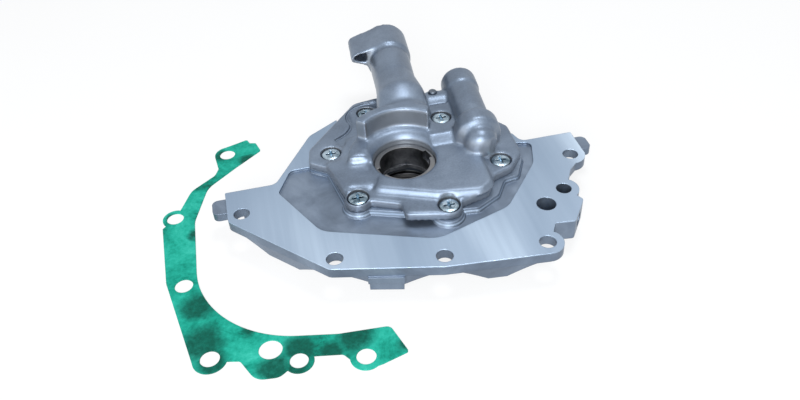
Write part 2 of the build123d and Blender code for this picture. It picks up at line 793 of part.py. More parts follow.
    # Suction port, its way up and the bore of the neck
    with BuildSketch(Plane.XY.offset(joint_z)):
        SlotArc(suction_arc, port_wide)
        SlotArc(suction_rise_arc, suction_rise_wide)
    extrude(amount=suction_port_z - joint_z, mode=Mode.SUBTRACT)
    with BuildSketch(neck_side):
        with BuildLine():
            Polyline((neck_bore_from, 0), (neck_bore_from, suction_neck_r), (neck_bore_full, suction_r),
                     (neck_flange_end - socket_deep, suction_r), (neck_flange_end - socket_deep, socket_r),
                     (neck_flange_end + 1, socket_r), (neck_flange_end + 1, 0), close=True)
        make_face()
    revolve(axis=neck_axis, mode=Mode.SUBTRACT)
    with BuildSketch(across(neck_foot, neck_end[0])):
        with Locations(ear_hole_at):
            Circle(ear_hole_r)
    extrude(amount=neck_flange_end, mode=Mode.SUBTRACT)
    # Discharge port, its feed to the barrel and the valve bore
    with BuildSketch(Plane.XY.offset(joint_z)):
        SlotArc(discharge_arc, port_wide)
        with Locations(((port_r + feed_x) / 2, feed_y)):
            SlotOverall(feed_x - port_r + 2 * feed_slot_r, 2 * feed_slot_r)
    extrude(amount=discharge_port_deep, mode=Mode.SUBTRACT)
    with Locations((feed_x, feed_y, joint_z)):
        Cylinder(feed_slot_r, barrel_foot.Z - joint_z, align=(Align.CENTER, Align.CENTER, Align.MIN),
                 mode=Mode.SUBTRACT)
    with BuildSketch(barrel_side):
        with BuildLine():
            Polyline((feed_from, 0), (feed_from, feed_r), (valve_from, feed_r), (valve_from, valve_r),
                     (circlip_from - circlip_gap, valve_r), (circlip_from - circlip_gap, circlip_groove_r),
                     (circlip_from + circlip_thick + circlip_gap, circlip_groove_r),
                     (circlip_from + circlip_thick + circlip_gap, valve_r),
                     (barrel_end[1] + 1, valve_r), (barrel_end[1] + 1, 0), close=True)
        make_face()
    revolve(axis=barrel_axis, mode=Mode.SUBTRACT)
    with BuildSketch(Plane.YZ.offset(bridge_x[0] - 4)):
        with Locations((spill_y, spill_z)):
            Circle(spill_r)
    extrude(amount=bridge_x[1] - bridge_x[0] + 4, mode=Mode.SUBTRACT)
    with Locations((*passage_plug_at, passage_plug_top_z - passage_plug_long)):
        Cylinder(passage_plug_r, passage_plug_long, align=(Align.CENTER, Align.CENTER, Align.MIN),
                 mode=Mode.SUBTRACT)

# Countersunk cover screws with a cross recess in each head
screws = []
for x, y, land in screw_places:
    rim_z = land - screw_head_sunk
    crown_top_z = land - screw_crown_sunk
    with BuildPart() as cover_screw:
        with BuildSketch(Plane.XZ):
            with BuildLine():
                FilletPolyline((0, screw_tip_z), (screw_r - 0.6, screw_tip_z), (screw_r, screw_tip_z + 0.8),
                               (screw_r, rim_z - screw_head_r + screw_r), (screw_head_r, rim_z),
                               (screw_crown_r, crown_top_z), (0, crown_top_z),
                               radius=[0, 0, 0, 0, 0, 2.0, 0], close=True)
            make_face()
        revolve(axis=Axis.Z)
        with BuildSketch(Plane.XY.offset(crown_top_z)):
            Rectangle(cross_long, cross_wide)
            Rectangle(cross_wide, cross_long)
        extrude(amount=-cross_deep, mode=Mode.SUBTRACT)
    screws.append(Pos(x, y, 0) * cover_screw.part)

# Dowels between the cover and the housing
with BuildPart() as cover_dowel:
    with Locations((0, 0, dowel_z[0])):
        Cylinder(dowel_r, dowel_z[1] - dowel_z[0], align=(Align.CENTER, Align.CENTER, Align.MIN))
    chamfer(cover_dowel.edges(), 0.4)
dowels = [Pos(x, y, 0) * cover_dowel.part for x, y in dowel_places]

# Inner rotor with its sleeve, its drive slots at the top and two drive flats at the bottom
with BuildPart() as inner_rotor:
    with BuildSketch(Plane.XY.offset(pocket_floor_z + rotor_side_gap)):
        with BuildLine():
            Spline(*rotor_points(12 * inner_lobes), periodic=True)
        make_face()
    extrude(amount=rotor_deep - 2 * rotor_side_gap)
    with Locations((0, 0, pocket_floor_z + rotor_side_gap)):
        Cylinder(sleeve_r, sleeve_top_z - pocket_floor_z - rotor_side_gap,
                 align=(Align.CENTER, Align.CENTER, Align.MIN))
    chamfer(inner_rotor.faces().sort_by(Axis.Z)[-1].edges(), 0.5)
    with Locations((0, 0, drive_flat_top_z)):
        Cylinder(crank_bore_r, rotor_deep * 3, align=(Align.CENTER, Align.CENTER, Align.MIN),
                 mode=Mode.SUBTRACT)
    with BuildSketch(Plane.XY.offset(drive_flat_top_z)):
        Circle(drive_foot_r)
        Rectangle(2 * drive_flat_from_axis, 2 * drive_foot_r, rotation=drive_flat_angle, mode=Mode.INTERSECT)
    extrude(amount=-rotor_deep, mode=Mode.SUBTRACT)
    with BuildSketch(Plane.XY.offset(sleeve_top_z)):
        Rectangle(2 * (crank_bore_r + drive_slot_deep), drive_slot_wide, rotation=drive_slot_angle)
    extrude(amount=-(sleeve_top_z - joint_z), mode=Mode.SUBTRACT)

# Outer rotor: a ring with round lobes on its inside
with BuildPart() as outer_rotor:
    with BuildSketch(Plane.XY.offset(pocket_floor_z + rotor_side_gap)):
        with Locations((outer_x, outer_y)):
            Circle(rotor_r)
            Circle(inner_tip_r + rotor_offset + tooth_gap, mode=Mode.SUBTRACT)
            with PolarLocations(lobe_centre_r, outer_lobes, start_angle=outer_turn):
                Circle(lobe_r)
            Circle(rotor_r, mode=Mode.INTERSECT)
    extrude(amount=rotor_deep - 2 * rotor_side_gap)

# Front crank seal: steel case, rubber lip and garter spring
with BuildPart() as crank_seal_case:
    with BuildSketch(Plane.XZ):
        with BuildLine():
            Polyline((seal_r, seal_z), (seal_r, seal_z + seal_high),
                     (seal_lip_r + 3.0, seal_z + seal_high), (seal_lip_r + 3.0, seal_z + seal_high - seal_wall),
                     (seal_r - seal_wall, seal_z + seal_high - seal_wall), (seal_r - seal_wall, seal_z),
                     close=True)
        make_face()
    revolve(axis=Axis.Z)
with BuildPart() as crank_seal_lip:
    with BuildSketch(Plane.XZ):
        with BuildLine():
            Polyline((seal_r - seal_wall, seal_z + 0.2), (seal_r - seal_wall, seal_z + 2.2),
                     (seal_lip_r + 2.6, seal_z + 2.2), (seal_lip_r + 1.2, seal_z + 5.4),
                     (seal_lip_r, seal_z + 4.0), (seal_lip_r + 1.4, seal_z + 0.8),
                     (seal_lip_r + 0.2, seal_z + 0.2), close=True)
        make_face()
    revolve(axis=Axis.Z)
with BuildPart() as seal_garter_spring:
    with BuildSketch(Plane.XZ):
        with Locations((seal_lip_r + 2.9, seal_z + 4.4)):
            Circle(garter_r)
    revolve(axis=Axis.Z)

# Pressure relief valve
with BuildPart() as relief_piston:
    with BuildSketch(barrel_side):
        with BuildLine():
            FilletPolyline((valve_from + valve_gap, 0), (valve_from + valve_gap, valve_r - valve_gap),
                           (valve_from + valve_gap + piston_long, valve_r - valve_gap),
                           (valve_from + valve_gap + piston_long, valve_r - valve_gap - piston_wall),
                           (valve_from + valve_gap + piston_crown, valve_r - valve_gap - piston_wall),
                           (valve_from + valve_gap + piston_crown, 0),
                           radius=[0, 0.6, 0.2, 0.2, 0.5, 0], close=True)
        make_face()
    revolve(axis=barrel_axis)
spring_from = valve_from + valve_gap + piston_crown + spring_wire_r + 0.05
spring_to = seat_from - spring_wire_r - 0.05
with BuildPart() as relief_spring:
    with BuildLine():
        coil = Helix((spring_to - spring_from) / spring_turns, spring_to - spring_from, spring_coil_r,
                     center=barrel_foot + along * spring_from, direction=along)
    with BuildSketch(Plane(origin=coil @ 0, z_dir=coil % 0)):
        RegularPolygon(spring_wire_r, spring_wire_sides)
    sweep(is_frenet=True)
with BuildPart() as relief_seat:
    with BuildSketch(across(barrel_foot, seat_from)):
        Circle(valve_r)
        Circle(seat_hole_r, mode=Mode.SUBTRACT)
    extrude(amount=seat_thick)
with BuildPart() as relief_circlip:
    with BuildSketch(across(barrel_foot, circlip_from)):
        Circle(circlip_groove_r - circlip_gap)
        Circle(circlip_inner_r, mode=Mode.SUBTRACT)
        with Locations((0, -circlip_groove_r)):
            Rectangle(circlip_inner_r, 2 * circlip_groove_r - 2 * circlip_inner_r + 3, mode=Mode.SUBTRACT)
    extrude(amount=circlip_thick)

# Plugs of the drilled passages
with BuildPart() as passage_plug:
    with Locations((*passage_plug_at, passage_plug_top_z - passage_plug_long)):
        Cylinder(passage_plug_r, passage_plug_long, align=(Align.CENTER, Align.CENTER, Align.MIN))
    fillet(passage_plug.edges().sort_by(Axis.Z)[-1], 0.8)
with BuildPart() as gallery_plug:
    with BuildSketch(Plane(origin=plug_seat, z_dir=drill_to - drill_from)):
        Circle(plug_r)
    extrude(amount=plug_long)
    with BuildSketch(Plane(origin=plug_seat, z_dir=drill_to - drill_from).offset(plug_long)):
        RegularPolygon(plug_r * 0.5, 6)
    extrude(amount=-plug_long * 0.6, mode=Mode.SUBTRACT)

# Flange gasket laid on the floor beside the pump
with BuildPart() as flange_gasket:
    with BuildSketch(Plane.XY.offset(-nose_deep)):
        with BuildLine():
            FilletPolyline(*spots(gasket_corners), radius=rounds(gasket_corners), close=True)
        make_face()
        for x, y, lobe, hole in gasket_lobes:
            with Locations((x, y)):
                Circle(lobe)
        for x, y, lobe, hole in gasket_lobes:
            with Locations((x, y)):
                Circle(hole, mode=Mode.SUBTRACT)
        for x, y, hole in gasket_holes:
            with Locations((x, y)):
                Circle(hole, mode=Mode.SUBTRACT)
    extrude(amount=gasket_thick)

made = {
    "front_housing": front_housing.part,
    "pump_cover": pump_cover.part,
    "inner_rotor": inner_rotor.part,
    "outer_rotor": outer_rotor.part,
    "crank_seal_case": crank_seal_case.part,
    "crank_seal_lip": crank_seal_lip.part,
    "seal_garter_spring": seal_garter_spring.part,
    "relief_piston": relief_piston.part,
    "relief_spring": relief_spring.part,
    "relief_seat": relief_seat.part,
    "relief_circlip": relief_circlip.part,
    "passage_plug": passage_plug.part,
    "gallery_plug": gallery_plug.part,
    "flange_gasket": flange_gasket.part,
}
for number, screw in enumerate(screws, 1):
    made[f"cover_screw_{number}"] = screw
for number, dowel in enumerate(dowels, 1):
    made[f"cover_dowel_{number}"] = dowel

os.makedirs("parts", exist_ok=True)
for label, shape in made.items():
    shape.label = label
    export_step(shape, f"parts/{label}.step")
    print(label, shape.is_valid, len(shape.solids()), round(shape.volume, 1))
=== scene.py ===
from math import exp

import bmesh
import bpy
from mathutils import Matrix, Vector


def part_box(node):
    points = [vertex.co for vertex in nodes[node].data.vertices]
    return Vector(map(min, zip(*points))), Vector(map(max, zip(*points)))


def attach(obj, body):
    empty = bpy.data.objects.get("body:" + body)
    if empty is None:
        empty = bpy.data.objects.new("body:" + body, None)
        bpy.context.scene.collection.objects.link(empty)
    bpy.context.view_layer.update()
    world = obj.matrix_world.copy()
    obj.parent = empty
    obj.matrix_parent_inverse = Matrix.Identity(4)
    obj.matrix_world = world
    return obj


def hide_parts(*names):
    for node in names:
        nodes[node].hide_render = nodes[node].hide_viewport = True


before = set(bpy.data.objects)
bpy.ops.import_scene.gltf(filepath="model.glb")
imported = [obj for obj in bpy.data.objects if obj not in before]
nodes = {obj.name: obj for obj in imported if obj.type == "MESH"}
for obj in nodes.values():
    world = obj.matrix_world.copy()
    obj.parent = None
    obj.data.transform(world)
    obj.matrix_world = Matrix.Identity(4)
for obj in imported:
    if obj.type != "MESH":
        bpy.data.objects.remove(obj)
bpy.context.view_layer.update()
print("frame loaded:", len(nodes), "nodes")

# Everything is in metres. The origin is where the crank axis meets the machined flange face, and +Z runs
# along that axis towards the engine block. Vertices nearer than mergeReach become one.
screwCount = 6
cutterSides = 64
mergeReach = 0.000002

# Middle of a noise's values and of a colour ramp, and the rays that soften an edge in a material
middle = 0.5
edgeSamples = 6

# Floor and surroundings: seen white, with a cooler and weaker fill light on the pump itself
stageLook = {
    "floorHeight": -0.021,
    "floorSize": 6.0,
    "floorColour": (0.86, 0.88, 0.9, 1),
    "floorRoughness": 0.9,
    "floorGlow": 0.80,
    "shadeRadius": (0.024, 0.034),
    "worldFill": 0.30,
    "fillColour": (0.88, 0.94, 1.0, 1),
    "white": (1, 1, 1, 1),
}

# Camera matched to the photograph
photoCamera = {
    "place": (-0.0679, -0.3336, 0.27315),
    "right": (0.9734, -0.2250, -0.0441),
    "up": (0.1799, 0.6307, 0.7549),
    "forward": (0.1421, 0.7427, -0.6543),
    "lens": 34.02,
    "sensor": 36.0,
    "nearest": 0.01,
}

# Each lamp: name, place, point it looks at, size and power in watts
softLamps = (
    ("frontLamp", (-0.28, -0.95, 0.62), (0, 0, 0), 0.75, 16.5),
    ("topLamp", (0.16, 0.14, 1.00), (0.01, 0.03, 0), 0.36, 4.3),
    ("leftLamp", (-0.95, -0.30, 0.42), (0, 0, 0), 0.80, 2.5),
)


def newMaterial(name, metallic=0.0, roughness=0.5, specular=0.5):
    material = bpy.data.materials.new(name)
    material.use_nodes = True
    shader = material.node_tree.nodes["Principled BSDF"]
    shader.inputs["Metallic"].default_value = metallic
    shader.inputs["Roughness"].default_value = roughness
    shader.inputs["Specular IOR Level"].default_value = specular
    return material, material.node_tree, shader


def objectPlace(tree, scale=(1, 1, 1), turn=(0, 0, 0)):
    coordinate = tree.nodes.new("ShaderNodeTexCoord")
    mapping = tree.nodes.new("ShaderNodeMapping")
    mapping.inputs["Scale"].default_value = scale
    mapping.inputs["Rotation"].default_value = turn
    tree.links.new(coordinate.outputs["Object"], mapping.inputs["Vector"])
    return mapping.outputs["Vector"]


def noise(tree, place, scale, detail=3.0, rough=0.55, distortion=0.0):
    texture = tree.nodes.new("ShaderNodeTexNoise")
    texture.inputs["Scale"].default_value = scale
    texture.inputs["Detail"].default_value = detail
    texture.inputs["Roughness"].default_value = rough
    texture.inputs["Distortion"].default_value = distortion
    tree.links.new(place, texture.inputs["Vector"])
    return texture.outputs["Fac"]


def ramp(tree, value, stops):
    blend = tree.nodes.new("ShaderNodeValToRGB")
    band = blend.color_ramp
    while len(band.elements) < len(stops):
        band.elements.new(middle)
    for element, (position, colour) in zip(band.elements, stops):
        element.position = position
        element.color = (*colour, 1)
    tree.links.new(value, blend.inputs["Fac"])
    return blend.outputs["Color"]


def toneStops(look, *tones):
    return [(position, look[tone]) for position, tone in zip(look["stops"], tones)]


def spread(tree, value, low, high, fromLow=0.3, fromHigh=0.7):
    remap = tree.nodes.new("ShaderNodeMapRange")
    remap.inputs["From Min"].default_value = fromLow
    remap.inputs["From Max"].default_value = fromHigh
    remap.inputs["To Min"].default_value = low
    remap.inputs["To Max"].default_value = high
    tree.links.new(value, remap.inputs["Value"])
    return remap.outputs["Result"]


def feed(tree, socket, value):
    if isinstance(value, bpy.types.NodeSocket):
        tree.links.new(value, socket)
    else:
        socket.default_value = value


def mixed(tree, kind, factor, first, second):
    mix = tree.nodes.new("ShaderNodeMix")
    mix.data_type = kind
    for name, value in (("Factor", factor), ("A", first), ("B", second)):
        feed(tree, mix.inputs[name], value)
    return mix.outputs["Result"]


def arithmetic(tree, operation, *values):
    node = tree.nodes.new("ShaderNodeMath")
    node.operation = operation
    for socket, value in zip(node.inputs, values):
        feed(tree, socket, value)
    return node.outputs["Value"]


def weighted(tree, first, firstShare, second, secondShare):
    return arithmetic(tree, "ADD", arithmetic(tree, "MULTIPLY", first, firstShare),
                      arithmetic(tree, "MULTIPLY", second, secondShare))


def axisParts(tree, vector):
    split = tree.nodes.new("ShaderNodeSeparateXYZ")
    tree.links.new(vector, split.inputs["Vector"])
    return split.outputs


def vectorNode(tree, operation, vector):
    node = tree.nodes.new("ShaderNodeVectorMath")
    node.operation = operation
    tree.links.new(vector, node.inputs[0])
    return node


# 1 for what the camera, a mirror or a clear piece sees of a surface, and 0 for the light it gives off
def seenDirectly(tree):
    ray = tree.nodes.new("ShaderNodeLightPath")
    seen = arithmetic(tree, "MAXIMUM", ray.outputs["Is Camera Ray"], ray.outputs["Is Glossy Ray"])
    return arithmetic(tree, "MAXIMUM", seen, ray.outputs["Is Transmission Ray"])


def grain(tree, shader, height, strength, distance, edgeRadius=0.0):
    bump = tree.nodes.new("ShaderNodeBump")
    bump.inputs["Strength"].default_value = strength
    bump.inputs["Distance"].default_value = distance
    tree.links.new(height, bump.inputs["Height"])
    if edgeRadius:
        edge = tree.nodes.new("ShaderNodeBevel")
        edge.samples = edgeSamples
        edge.inputs["Radius"].default_value = edgeRadius
        tree.links.new(edge.outputs["Normal"], bump.inputs["Normal"])
    tree.links.new(bump.outputs["Normal"], shader.inputs["Normal"])


# Cast aluminium: blotchy tone, fine sand grain, softened edges, and a painted highlight that makes walls
# paler than level faces.
# A "stops" entry gives the noise value at which each tone is full, from the dark one to the light one.
castLook = {
    "dark": (0.110, 0.142, 0.192),
    "mid": (0.146, 0.187, 0.250),
    "light": (0.196, 0.245, 0.318),
    # Painted highlight on walls: its pale tone, its share from steep to level, and the normal tilts it spans
    "wall": (0.355, 0.385, 0.425, 1),
    "wallShare": (0.7, 0.0),
    "wallSlope": (0.05, 0.60),
    "stops": (0.34, 0.5, 0.68),
    "blotchScale": 38.0,
    "blotchDetail": (5.0, 0.6, 0.6),
    "grainScale": 900.0,
    "grainDetail": (2.0, 0.6),
    "grainShare": 0.25,
    "grainStrength": 0.35,
    "grainDistance": 0.00012,
    "roughness": (0.36, 0.48),
    "metallic": 0.85,
    "edgeRadius": 0.0006,
}


def castMaterial(name, look):
    material, tree, shader = newMaterial(name, look["metallic"])
    place = objectPlace(tree)
    blotch = noise(tree, place, look["blotchScale"], *look["blotchDetail"])
    sand = noise(tree, place, look["grainScale"], *look["grainDetail"])
    tone = weighted(tree, blotch, 1 - look["grainShare"], sand, look["grainShare"])
    level = ramp(tree, tone, toneStops(look, "dark", "mid", "light"))
    geometry = tree.nodes.new("ShaderNodeNewGeometry")
    tilt = arithmetic(tree, "ABSOLUTE", axisParts(tree, geometry.outputs["Normal"])["Z"])
    # Painted highlight: walls are mixed towards a pale tone, by a share that falls as the face turns level
    wall = spread(tree, tilt, *look["wallShare"], *look["wallSlope"])
    tree.links.new(mixed(tree, "RGBA", wall, level, look["wall"]), shader.inputs["Base Color"])
    tree.links.new(spread(tree, blotch, *look["roughness"]), shader.inputs["Roughness"])
    grain(tree, shader, sand, look["grainStrength"], look["grainDistance"], look["edgeRadius"])
    return material


# Housing: the same casting, with the flange face machined bright where it is level with the origin, and
# darkened inside the seal nose as painted shade.
# The face is streaked along one way, partly machining marks and partly painted reflection bands, and a
# painted sheen makes it paler towards +X.
flangeLook = {
    "dark": (0.21, 0.285, 0.39),
    "light": (0.32, 0.41, 0.53),
    "bright": (0.54, 0.66, 0.80),
    "stops": (0.36, 0.58, 0.74),
    "rightSheen": (-0.02, 0.16),
    "rightSheenReach": (0.055, 0.105),
    "streakScale": 17.0,
    "streakDetail": (2.0, 0.45, 0.35),
    "streakStretch": (1.0, 0.22, 1.0),
    "streakTurn": (0, 0, -0.75),
    "scratchScale": 260.0,
    "scratchDetail": (2.0, 0.5),
    "scratchStretch": (1.0, 0.03, 1.0),
    "scratchShare": 0.1,
    "scratchHeight": 0.12,
    "faceDepth": 0.0004,
    "metallic": 0.75,
    "roughness": 0.33,
    "boreShade": (0.3, 1.0),
    "boreShadeReach": (0.0215, 0.0235),
}


def housingMaterial(name, cast, machined):
    material, tree, shader = newMaterial(name, machined["metallic"])
    place = objectPlace(tree)
    blotch = noise(tree, place, cast["blotchScale"], *cast["blotchDetail"])
    sand = noise(tree, place, cast["grainScale"], *cast["grainDetail"])
    castTone = ramp(tree, blotch, toneStops(cast, "dark", "mid", "light"))

    # Streak tones: partly machining marks, partly painted reflection bands
    streakPlace = objectPlace(tree, machined["streakStretch"], machined["streakTurn"])
    streak = noise(tree, streakPlace, machined["streakScale"], *machined["streakDetail"])
    scratchPlace = objectPlace(tree, machined["scratchStretch"], machined["streakTurn"])
    scratch = noise(tree, scratchPlace, machined["scratchScale"], *machined["scratchDetail"])
    axes = axisParts(tree, place)
    # Painted sheen: the machined tone is lifted towards +X
    rightSheenTone = spread(tree, axes["X"], *machined["rightSheen"], *machined["rightSheenReach"])
    share = machined["scratchShare"]
    streaks = weighted(tree, streak, 1 - share, scratch, share)
    machinedTone = ramp(tree, arithmetic(tree, "ADD", streaks, rightSheenTone),
                        toneStops(machined, "dark", "light", "bright"))

    above = arithmetic(tree, "GREATER_THAN", axes["Z"], -machined["faceDepth"])
    below = arithmetic(tree, "LESS_THAN", axes["Z"], machined["faceDepth"])
    face = arithmetic(tree, "MULTIPLY", above, below)
    tone = mixed(tree, "RGBA", face, castTone, machinedTone)
    # Painted shade: the tone is darkened inside the seal nose, towards the axis
    fromAxis = vectorNode(tree, "LENGTH", objectPlace(tree, scale=(1, 1, 0)))
    boreShadeScale = spread(tree, fromAxis.outputs["Value"], *machined["boreShade"], *machined["boreShadeReach"])
    shade = vectorNode(tree, "SCALE", tone)
    tree.links.new(boreShadeScale, shade.inputs["Scale"])
    tree.links.new(shade.outputs["Vector"], shader.inputs["Base Color"])

    castRough = spread(tree, blotch, *cast["roughness"])
    rough = mixed(tree, "FLOAT", face, castRough, machined["roughness"])
    tree.links.new(rough, shader.inputs["Roughness"])
    castOnly = arithmetic(tree, "SUBTRACT", 1.0, face)
    height = weighted(tree, castOnly, sand, scratch, machined["scratchHeight"])
    grain(tree, shader, height, cast["grainStrength"], cast["grainDistance"], cast["edgeRadius"])
    return material


# Plain metals: one tone that drifts, fine grain and, where given, a lighter top that is partly wear and
# partly painted highlight. Drift and grain are sized from "scale".
metalShared = {
    "stops": (0.35, 0.62),
    "driftShare": 0.2,
    "driftDetail": (4.0, 0.6, 0.4),
    "fineShare": 3.0,
    "fineDetail": (2.0, 0.6),
    "roughSpread": (0.8, 1.25),
    "grainDistance": 0.00005,
}

metalLooks = {
    "zincScrew": {
        "dark": (0.08, 0.13, 0.17),
        "light": (0.42, 0.52, 0.60),
        "scale": 900.0,
        "roughness": 0.26,
        "metallic": 1.0,
        "grain": 0.25,
        "edgeRadius": 0.0003,
    },
    # Rotor: the sintered iron's grey made darker as painted shade for the bore, with a lighter top that is
    # partly wear and partly painted highlight
    "sinteredRotor": {
        "dark": (0.070, 0.076, 0.086),
        "light": (0.18, 0.185, 0.20),
        "scale": 600.0,
        "roughness": 0.34,
        "metallic": 1.0,
        "grain": 0.3,
        "edgeRadius": 0.0004,
        "wornLitTopFrom": (0.0060, 0.0064),
        "wornLitTop": (0.20, 0.203, 0.21, 1),
    },
    "oiledSteel": {
        "dark": (0.035, 0.036, 0.040),
        "light": (0.08, 0.082, 0.09),
        "scale": 300.0,
        "roughness": 0.38,
        "metallic": 1.0,
        "grain": 0.15,
        "edgeRadius": 0.0002,
    },
    # Seal case: tones darkened as painted shade, for the case deep in the bore
    "sealCase": {
        "dark": (0.10, 0.105, 0.115),
        "light": (0.18, 0.19, 0.20),
        "scale": 300.0,
        "roughness": 0.40,
        "metallic": 1.0,
        "grain": 0.15,
        "edgeRadius": 0.0003,
    },
    "groundSteel": {
        "dark": (0.40, 0.41, 0.43),
        "light": (0.60, 0.61, 0.64),
        "scale": 350.0,
        "roughness": 0.24,
        "metallic": 1.0,
        "grain": 0.12,
        "edgeRadius": 0.0002,
    },
    "darkSteel": {
        "dark": (0.09, 0.11, 0.14),
        "light": (0.18, 0.21, 0.25),
        "scale": 500.0,
        "roughness": 0.42,
        "metallic": 0.9,
        "grain": 0.3,
        "edgeRadius": 0.0002,
    },
}


def metalMaterial(name, look):
    material, tree, shader = newMaterial(name, look["metallic"])
    place = objectPlace(tree)
    drift = noise(tree, place, look["scale"] * look["driftShare"], *look["driftDetail"])
    fine = noise(tree, place, look["scale"] * look["fineShare"], *look["fineDetail"])
    tone = ramp(tree, drift, toneStops(look, "dark", "light"))
    # Wear and painted highlight: the top above a height gets a lighter tone
    if "wornLitTop" in look:
        wornLitTopShare = spread(tree, axisParts(tree, place)["Z"], 0.0, 1.0, *look["wornLitTopFrom"])
        tone = mixed(tree, "RGBA", wornLitTopShare, tone, look["wornLitTop"])
    tree.links.new(tone, shader.inputs["Base Color"])
    smooth, rough = (look["roughness"] * share for share in look["roughSpread"])
    tree.links.new(spread(tree, drift, smooth, rough), shader.inputs["Roughness"])
    grain(tree, shader, fine, look["grain"], look["grainDistance"], look["edgeRadius"])
    return material


# Rubber of the seal lip
rubberLook = {
    "dark": (0.012, 0.012, 0.013),
    "light": (0.035, 0.035, 0.038),
    "stops": (0.4, 0.7),
    "dustScale": 500.0,
    "roughness": (0.42, 0.62),
    "specular": 0.4,
    "grainStrength": 0.2,
    "grainDistance": 0.00005,
}


def rubberMaterial(name, look):
    material, tree, shader = newMaterial(name, specular=look["specular"])
    dust = noise(tree, objectPlace(tree), look["dustScale"])
    tree.links.new(ramp(tree, dust, toneStops(look, "dark", "light")), shader.inputs["Base Color"])
    tree.links.new(spread(tree, dust, *look["roughness"]), shader.inputs["Roughness"])
    grain(tree, shader, dust, look["grainStrength"], look["grainDistance"])
    return material


# Gasket: green fibre with a fine fleck, and dark stains with ragged edges where oil has soaked in.
# Each stain: x, y and radius, in metres on the floor.
gasketLook = {
    "dark": (0.002, 0.065, 0.045),
    "mid": (0.005, 0.23, 0.165),
    "light": (0.016, 0.345, 0.255),
    "bright": (0.045, 0.46, 0.36),
    "stops": (0.34, 0.44, 0.54, 0.68),
    "stainDark": (0.002, 0.066, 0.045, 1),
    "stainFleck": (1.0, 0.8),
    "stainHeight": -0.02,
    "stainCore": 0.45,
    "cloudScale": 30.0,
    "cloudDetail": (6.0, 0.68, 1.0),
    "fleckScale": 480.0,
    "fleckDetail": (3.0, 0.7),
    "fleckShare": 0.25,
    "warpScale": 55.0,
    "warpDetail": (4.0, 0.6, 0.5),
    "warp": 0.012,
    "roughness": (0.48, 0.66),
    "specular": 0.1,
    "grainStrength": 0.25,
    "grainDistance": 0.00006,
    "edgeRadius": 0.0002,
    "stains": (
        (-0.1240, -0.0530, 0.0120),
        (-0.1235, -0.0790, 0.0140),
        (-0.1190, -0.0920, 0.0100),
        (-0.0900, -0.1040, 0.0110),
        (-0.0750, -0.0945, 0.0100),
        (-0.0780, -0.1060, 0.0080),
        (-0.0475, -0.0930, 0.0130),
        (-0.0265, -0.1050, 0.0060),
        (-0.0620, -0.1000, 0.0080),
        (-0.0990, -0.0770, 0.0060),
        (-0.1250, 0.0030, 0.0055),
        (-0.1050, 0.0740, 0.0065),
        (-0.0900, 0.0650, 0.0055),
        (-0.1385, 0.0215, 0.0050),
    ),
}


def stainMask(tree, place, look):
    ragged = noise(tree, place, look["warpScale"], *look["warpDetail"])
    shift = arithmetic(tree, "MULTIPLY", arithmetic(tree, "SUBTRACT", ragged, middle), look["warp"])
    mask = 0.0
    for x, y, radius in look["stains"]:
        reach = vectorNode(tree, "DISTANCE", place)
        reach.inputs[1].default_value = (x, y, look["stainHeight"])
        ripple = arithmetic(tree, "ADD", reach.outputs["Value"], shift)
        stain = spread(tree, ripple, 1.0, 0.0, radius * look["stainCore"], radius)
        mask = arithmetic(tree, "MAXIMUM", mask, stain)
    return mask


def gasketMaterial(name, look):
    material, tree, shader = newMaterial(name, specular=look["specular"])
    place = objectPlace(tree)
    cloud = noise(tree, place, look["cloudScale"], *look["cloudDetail"])
    fleck = noise(tree, place, look["fleckScale"], *look["fleckDetail"])
    tone = weighted(tree, cloud, 1 - look["fleckShare"], fleck, look["fleckShare"])
    fibre = ramp(tree, tone, toneStops(look, "dark", "mid", "light", "bright"))
    fade = spread(tree, fleck, *look["stainFleck"])
    soaked = arithmetic(tree, "MULTIPLY", stainMask(tree, place, look), fade)
    tree.links.new(mixed(tree, "RGBA", soaked, fibre, look["stainDark"]), shader.inputs["Base Color"])
    tree.links.new(spread(tree, cloud, *look["roughness"]), shader.inputs["Roughness"])
    grain(tree, shader, fleck, look["grainStrength"], look["grainDistance"], look["edgeRadius"])
    return material


castMetal = castMaterial("castAluminium", castLook)
housingMetal = housingMaterial("castHousing", castLook, flangeLook)
finishes = {name: metalMaterial(name, {**metalShared, **look}) for name, look in metalLooks.items()}
sealRubber = rubberMaterial("sealRubber", rubberLook)
gasketFibre = gasketMaterial("gasketFibre", gasketLook)

# Finish of each node. The cover screws, not listed, get the zinc.
nodeFinish = {
    "front_housing": housingMetal,
    "pump_cover": castMetal,
    "inner_rotor": finishes["sinteredRotor"],
    "outer_rotor": finishes["sinteredRotor"],
    "crank_seal_case": finishes["sealCase"],
    "crank_seal_lip": sealRubber,
    "seal_garter_spring": finishes["oiledSteel"],
    "relief_piston": finishes["groundSteel"],
    "relief_spring": finishes["groundSteel"],
    "relief_seat": finishes["groundSteel"],
    "relief_circlip": finishes["darkSteel"],
    "passage_plug": finishes["darkSteel"],
    "gallery_plug": finishes["darkSteel"],
    "flange_gasket": gasketFibre,
    "cover_dowel_1": finishes["groundSteel"],
    "cover_dowel_2": finishes["groundSteel"],
}
for name, node in nodes.items():
    finish = nodeFinish.get(name, finishes["zincScrew"])
    node.data.materials.clear()
    node.data.materials.append(finish)
print("finishes given to", len(nodes), "nodes")


